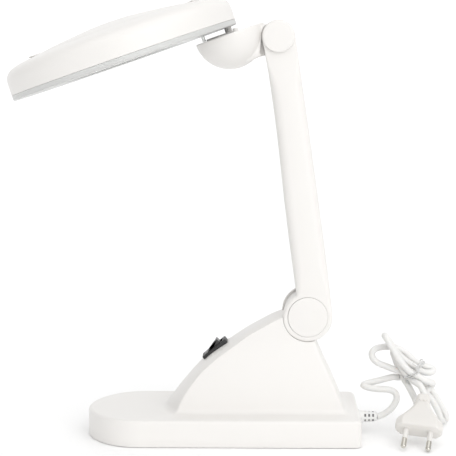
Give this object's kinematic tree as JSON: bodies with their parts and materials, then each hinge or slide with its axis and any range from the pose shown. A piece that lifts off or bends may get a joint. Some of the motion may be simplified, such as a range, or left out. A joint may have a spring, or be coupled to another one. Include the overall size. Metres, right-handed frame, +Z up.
{
  "type": "magnifying lamp",
  "caption": "Desk magnifying lamp with a weighted base, one friction arm, a swivelling round lens head with a ring light and a hinged lens cover, a rocker switch and a bundled mains lead.",
  "frame": {"origin": "on the standing surface, under the middle of the lamp's overall length and width without its loose lead", "axes": "+Z up, +X from the lens head back towards the hinges and the lead, +Y to the far side, so the lamp is seen from its side along +Y"},
  "size_m": [0.3358, 0.176, 0.331],
  "materials": {
    "white_plastic": "smooth injection-moulded white plastic, semi-gloss",
    "shaded_plastic": "fine-textured off-white plastic",
    "black_plastic": "black moulded nylon, semi-gloss",
    "clear_cover": "translucent moulded plastic",
    "lens_glass": "polished lens",
    "light_board": "white solder mask",
    "led_yellow": "phosphor under clear silicone",
    "circuit_board": "green solder mask",
    "components": "moulded component bodies",
    "steel": "plain steel",
    "zinc": "bright zinc plate",
    "nickel": "bright nickel plate",
    "fibre": "hard fibre",
    "rubber": "matt moulded rubber",
    "iron": "rough cast iron",
    "cord_white": "smooth flexible white cable sheath",
    "plug_plastic": "satin moulded white plastic",
    "tie_clear": "clear twist tie"
  },
  "bodies": {
    "base": {"base_housing": "white_plastic", "bottom_cover": "shaded_plastic", "ballast_plate": "iron", "ballast_screws": "steel", "rubber_feet": "rubber", "cover_screws": "steel", "driver_board": "circuit_board", "driver_board_screws": "steel", "driver_parts": "components", "cord_clamp": "shaded_plastic", "clamp_screws": "steel", "strain_relief": "cord_white", "switch_body": "black_plastic", "cord": "cord_white", "cord_hank": "cord_white", "cord_tie": "tie_clear", "cord_end": "cord_white", "plug_body": "plug_plastic", "plug_sleeves": "plug_plastic", "plug_pins": "nickel"},
    "arm": {"arm_shell_near": "white_plastic", "arm_shell_far": "white_plastic", "arm_screws": "steel", "arm_lead": "cord_white", "lower_pivot_bolt": "zinc", "lower_pivot_nut": "zinc", "lower_spring_washer": "steel", "lower_friction_washers": "fibre", "lower_cap_near": "white_plastic", "lower_cap_far": "white_plastic", "upper_pivot_bolt": "zinc", "upper_pivot_nut": "zinc", "upper_spring_washer": "steel", "upper_friction_washers": "fibre", "upper_cap_near": "white_plastic", "upper_cap_far": "white_plastic"},
    "bracket": {"head_bracket": "white_plastic", "bracket_cover": "shaded_plastic", "bracket_screws": "steel", "swivel_pin": "zinc", "swivel_washer": "steel", "swivel_nut": "zinc"},
    "head": {"head_housing": "white_plastic", "stop_pin": "zinc", "light_cover": "clear_cover", "light_cover_screws": "steel", "led_board": "light_board", "led_board_screws": "steel", "leds": "led_yellow", "lens": "lens_glass", "lens_ring": "shaded_plastic", "lid_hinge_pin": "steel"},
    "lid": {"lens_cover": "white_plastic"},
    "switch": {"switch_rocker": "black_plastic"}
  },
  "joints": [
    {"name": "arm_tilt", "type": "hinge", "parent": "base", "child": "arm", "pos_m": [0.0854, 0, 0.0925], "axis": [0, -1, 0], "range_deg": [-25, 45]},
    {"name": "head_tilt", "type": "hinge", "parent": "arm", "child": "bracket", "pos_m": [0.06272, 0, 0.30127], "axis": [0, 1, 0], "range_deg": [-12, 95]},
    {"name": "head_swivel", "type": "hinge", "parent": "bracket", "child": "head", "pos_m": [0.02649, 0, 0.30329], "axis": [-0.3256, 0, 0.9455], "range_deg": [-90, 90]},
    {"name": "cover_hinge", "type": "hinge", "parent": "head", "child": "lid", "pos_m": [0.00082, 0, 0.3284], "axis": [0, 1, 0], "range_deg": [0, 110]},
    {"name": "switch_rock", "type": "hinge", "parent": "base", "child": "switch", "pos_m": [0.01706, 0, 0.06307], "axis": [0, 1, 0], "range_deg": [0, 28]}
  ]
}
